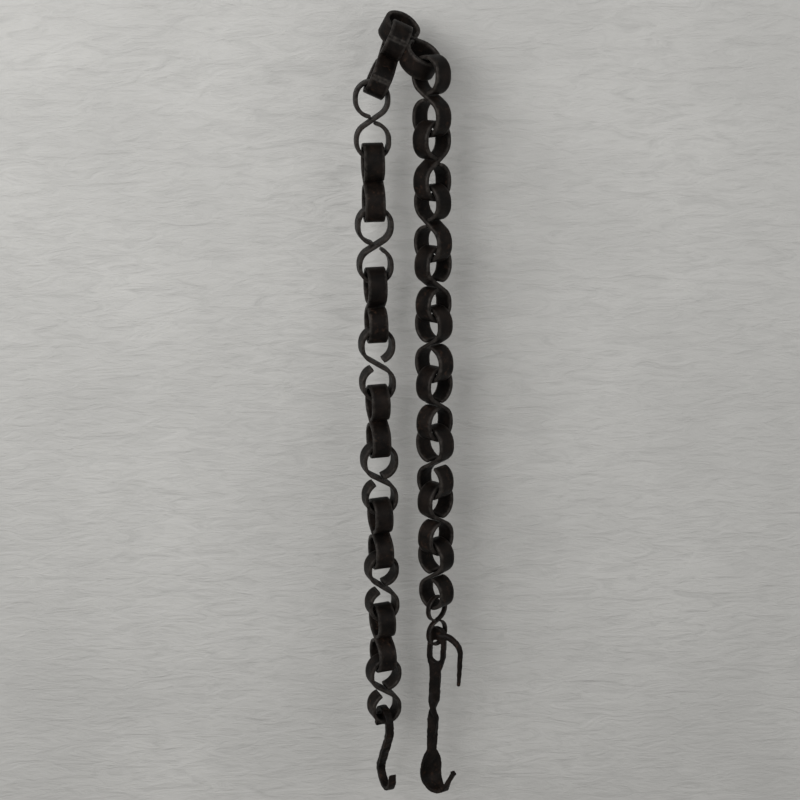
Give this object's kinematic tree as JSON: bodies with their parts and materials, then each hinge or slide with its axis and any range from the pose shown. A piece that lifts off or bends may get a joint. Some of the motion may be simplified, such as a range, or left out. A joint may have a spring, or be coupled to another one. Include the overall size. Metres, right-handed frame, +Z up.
{
  "type": "pot trammel",
  "caption": "Forged iron chain trammel: S links in two strands under one hanging eye, a pot hook on one, an adjusting bar with catch hook and broad bottom hook on the other.",
  "frame": {"origin": "middle of the bore of the peak link's upper eye, which goes over the wall hook", "axes": "+X to the right as seen from the room, +Y into the wall, +Z up"},
  "size_m": [0.1103, 0.0934, 0.8685],
  "materials": {
    "link_iron": "black forge scale, worn to grey on the rims",
    "wire_iron": "black forge scale",
    "hook_iron": "black forge scale with a little rust"
  },
  "bodies": {
    "peak_link": {"peak_link": "link_iron"},
    "left_link_01": {"left_link_01": "link_iron"},
    "left_link_02": {"left_link_02": "link_iron"},
    "left_link_03": {"left_link_03": "link_iron"},
    "left_link_04": {"left_link_04": "link_iron"},
    "left_link_05": {"left_link_05": "link_iron"},
    "left_link_06": {"left_link_06": "link_iron"},
    "left_link_07": {"left_link_07": "link_iron"},
    "left_link_08": {"left_link_08": "link_iron"},
    "left_link_09": {"left_link_09": "link_iron"},
    "left_link_10": {"left_link_10": "link_iron"},
    "left_link_11": {"left_link_11": "link_iron"},
    "left_link_12": {"left_link_12": "link_iron"},
    "pot_hook": {"pot_hook": "hook_iron"},
    "right_link_01": {"right_link_01": "link_iron"},
    "right_link_02": {"right_link_02": "link_iron"},
    "right_link_03": {"right_link_03": "link_iron"},
    "right_link_04": {"right_link_04": "link_iron"},
    "right_link_05": {"right_link_05": "link_iron"},
    "right_link_06": {"right_link_06": "link_iron"},
    "right_link_07": {"right_link_07": "link_iron"},
    "right_link_08": {"right_link_08": "link_iron"},
    "right_link_09": {"right_link_09": "link_iron"},
    "connecting_link": {"connecting_link": "wire_iron"},
    "adjusting_bar": {"adjusting_bar": "hook_iron"}
  },
  "joints": [
    {"name": "left_link_01_swing", "type": "hinge", "parent": "peak_link", "child": "left_link_01", "pos_m": [-0.00272, -0.01665, -0.00952], "axis": [0.9013, 0.0947, -0.4226], "range_deg": [-60, 60]},
    {"name": "left_link_02_swing", "type": "hinge", "parent": "left_link_01", "child": "left_link_02", "pos_m": [-0.02854, -0.01936, -0.0652], "axis": [0.1045, -0.9945, 0], "range_deg": [-60, 1.5]},
    {"name": "left_link_03_swing", "type": "hinge", "parent": "left_link_02", "child": "left_link_03", "pos_m": [-0.02854, -0.01936, -0.12882], "axis": [-0.9912, -0.1323, 0], "range_deg": [-60, 60]},
    {"name": "left_link_04_swing", "type": "hinge", "parent": "left_link_03", "child": "left_link_04", "pos_m": [-0.02854, -0.01936, -0.19358], "axis": [-0.1599, 0.9871, 0], "range_deg": [-2.5, 60]},
    {"name": "left_link_05_swing", "type": "hinge", "parent": "left_link_04", "child": "left_link_05", "pos_m": [-0.02854, -0.01936, -0.25721], "axis": [0.9823, 0.1874, 0], "range_deg": [-60, 60]},
    {"name": "left_link_06_swing", "type": "hinge", "parent": "left_link_05", "child": "left_link_06", "pos_m": [-0.02854, -0.01936, -0.32083], "axis": [0.2147, -0.9767, 0], "range_deg": [-60, 3.5]},
    {"name": "left_link_07_swing", "type": "hinge", "parent": "left_link_06", "child": "left_link_07", "pos_m": [-0.02854, -0.01936, -0.38445], "axis": [-0.9703, -0.2419, 0], "range_deg": [-60, 60]},
    {"name": "left_link_08_swing", "type": "hinge", "parent": "left_link_07", "child": "left_link_08", "pos_m": [-0.02854, -0.01936, -0.44921], "axis": [-0.2689, 0.9632, 0], "range_deg": [-14.5, 60]},
    {"name": "left_link_09_swing", "type": "hinge", "parent": "left_link_08", "child": "left_link_09", "pos_m": [-0.02854, -0.01936, -0.51284], "axis": [0.9553, 0.2957, 0], "range_deg": [-60, 60]},
    {"name": "left_link_10_swing", "type": "hinge", "parent": "left_link_09", "child": "left_link_10", "pos_m": [-0.02854, -0.01936, -0.57508], "axis": [0.3223, -0.9466, 0], "range_deg": [-60, 45.5]},
    {"name": "left_link_11_swing", "type": "hinge", "parent": "left_link_10", "child": "left_link_11", "pos_m": [-0.02854, -0.01936, -0.63733], "axis": [-0.9373, -0.3486, 0], "range_deg": [-60, 60]},
    {"name": "left_link_12_swing", "type": "hinge", "parent": "left_link_11", "child": "left_link_12", "pos_m": [-0.02854, -0.01936, -0.70095], "axis": [-0.3746, 0.9272, 0], "range_deg": [-60, 60]},
    {"name": "pot_hook_swing", "type": "hinge", "parent": "left_link_12", "child": "pot_hook", "pos_m": [-0.02854, -0.01936, -0.76448], "axis": [-0.9272, -0.3746, 0], "range_deg": [-60, 60]},
    {"name": "right_link_01_swing", "type": "hinge", "parent": "peak_link", "child": "right_link_01", "pos_m": [0.03178, -0.03514, -0.04176], "axis": [-0.7071, -0.7071, 0], "range_deg": [-3, 60]},
    {"name": "right_link_02_swing", "type": "hinge", "parent": "right_link_01", "child": "right_link_02", "pos_m": [0.03178, -0.03514, -0.10598], "axis": [0.7071, -0.7071, 0], "range_deg": [-60, 60]},
    {"name": "right_link_03_swing", "type": "hinge", "parent": "right_link_02", "child": "right_link_03", "pos_m": [0.03178, -0.03514, -0.16889], "axis": [0.7071, 0.7071, 0], "range_deg": [-60, 4.5]},
    {"name": "right_link_04_swing", "type": "hinge", "parent": "right_link_03", "child": "right_link_04", "pos_m": [0.03178, -0.03514, -0.23311], "axis": [-0.7071, 0.7071, 0], "range_deg": [-60, 60]},
    {"name": "right_link_05_swing", "type": "hinge", "parent": "right_link_04", "child": "right_link_05", "pos_m": [0.03178, -0.03514, -0.29601], "axis": [-0.7071, -0.7071, 0], "range_deg": [-7.5, 60]},
    {"name": "right_link_06_swing", "type": "hinge", "parent": "right_link_05", "child": "right_link_06", "pos_m": [0.03178, -0.03514, -0.36135], "axis": [0.7071, -0.7071, 0], "range_deg": [-60, 60]},
    {"name": "right_link_07_swing", "type": "hinge", "parent": "right_link_06", "child": "right_link_07", "pos_m": [0.03178, -0.03514, -0.42669], "axis": [0.7071, 0.7071, 0], "range_deg": [-60, 12.5]},
    {"name": "right_link_08_swing", "type": "hinge", "parent": "right_link_07", "child": "right_link_08", "pos_m": [0.03178, -0.03514, -0.49092], "axis": [-0.7071, 0.7071, 0], "range_deg": [-60, 60]},
    {"name": "right_link_09_swing", "type": "hinge", "parent": "right_link_08", "child": "right_link_09", "pos_m": [0.03178, -0.03514, -0.55515], "axis": [-0.7071, -0.7071, 0], "range_deg": [-33.5, 60]},
    {"name": "connecting_link_swing", "type": "hinge", "parent": "right_link_09", "child": "connecting_link", "pos_m": [0.03178, -0.03514, -0.6181], "axis": [0.7071, -0.7071, 0], "range_deg": [-60, 60]},
    {"name": "adjusting_bar_swing", "type": "hinge", "parent": "connecting_link", "child": "adjusting_bar", "pos_m": [0.03178, -0.03514, -0.66124], "axis": [0.4226, 0.9063, 0], "range_deg": [-60, 14.5]}
  ]
}
